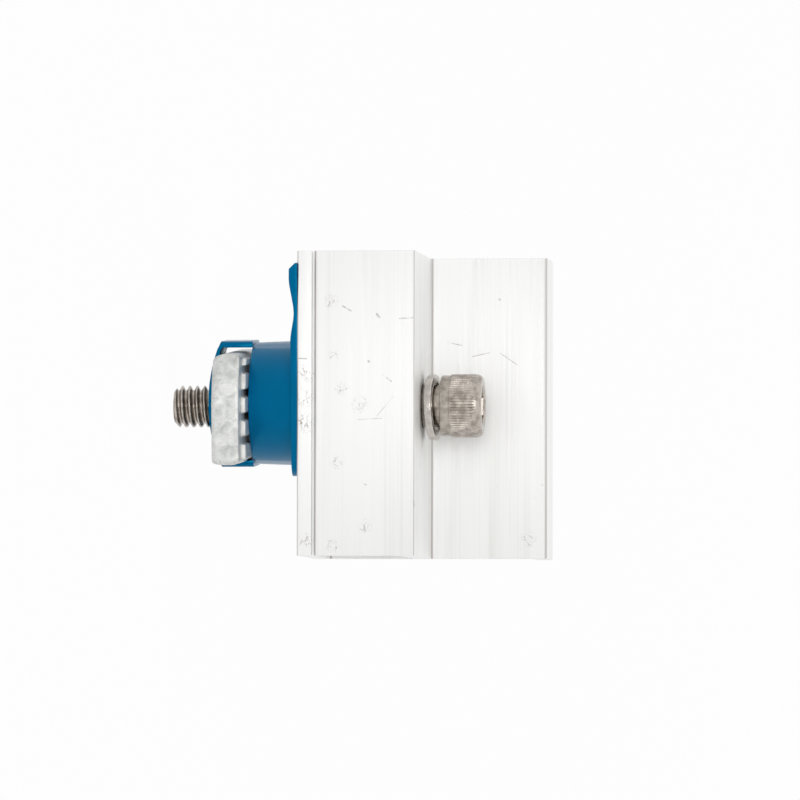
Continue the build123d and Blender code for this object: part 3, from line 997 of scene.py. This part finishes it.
def makeWorld():
    world = bpy.data.worlds.new("tent")
    scene.world = world
    tree = emptyTree(world)
    extra = studio["skyShown"] - studio["skyDiffuse"]
    strength = addNode(tree, "Math", "MULTIPLY_ADD", (litForShow(tree), extra, studio["skyDiffuse"]))
    sky = addNode(tree, "Background", {"Color": grey(1)}, {"Strength": strength})
    addNode(tree, "OutputWorld", links=[sky])


def direction(azimuth, elevation):
    a, e = math.radians(azimuth), math.radians(elevation)
    return Vector((math.sin(a) * math.cos(e), -math.cos(a) * math.cos(e), math.sin(e)))


def addLamp(name, glossy=True):
    azimuth, elevation, distance = studio[name + "Place"]
    place = direction(azimuth, elevation) * distance
    lamp = bpy.data.lights.new(name, "AREA")
    lamp.size = studio[name + "Size"]
    lamp.energy = studio[name + "Power"]
    stand = bpy.data.objects.new(name, lamp)
    scene.collection.objects.link(stand)
    stand.location = place
    stand.rotation_euler = (-place).to_track_quat("-Z", "Y").to_euler()
    stand.visible_camera = False
    stand.visible_glossy = glossy


def addFlag():
    # a dark card that only mirrors in the metal, for the contrast on the turned steel
    azimuth, elevation, distance = studio["flagPlace"]
    card = squareCard("flag", studio["flagSize"] / 2)
    card.location = direction(azimuth, elevation) * distance
    card.rotation_euler = card.location.to_track_quat("Z", "Y").to_euler()
    card.data.materials.append(newMaterial("blackCard", {"Base Color": grey(0.02), "Roughness": 0.9})[0])
    for ray in ("camera", "diffuse", "transmission", "shadow", "volume_scatter"):
        setattr(card, "visible_" + ray, False)


mainView = {
    "target": (-1.204, 1.894, 17.571),      # this and the lengths below in millimetres
    "distance": 1600.0,
    "viewWidth": 151.2287,
    "sensor": 36.0,
    "towardsHead": 6.3,
    "towardsEnd": 2.24,
    "roll": -0.14,
}


def makeCamera():
    s = mainView
    back = Vector((math.sin(math.radians(s["towardsEnd"])), 0, math.sin(math.radians(s["towardsHead"]))))
    back.y = -math.sqrt(1 - back.x ** 2 - back.z ** 2)
    right = Vector((0, 0, 1))
    right = (right - right.dot(back) * back).normalized()
    up = back.cross(right)
    roll = math.radians(s["roll"])
    right, up = right * math.cos(roll) + up * math.sin(roll), up * math.cos(roll) - right * math.sin(roll)
    camera = bpy.data.cameras.new("longLens")
    camera.sensor_width = s["sensor"]
    camera.lens = s["sensor"] * s["distance"] / s["viewWidth"]
    camera.clip_end = 50
    stand = bpy.data.objects.new("longLens", camera)
    scene.collection.objects.link(stand)
    place = (Vector(s["target"]) + back * s["distance"]) * mm
    stand.matrix_world = Matrix.Translation(place) @ Matrix((right, up, back)).transposed().to_4x4()
    scene.camera = stand


makeFloor()
makeWorld()
addLamp("key")
addLamp("front", False)
addLamp("top", False)
addLamp("back", False)
addFlag()
makeCamera()
scene.view_settings.view_transform = "Standard"
print("studio made")
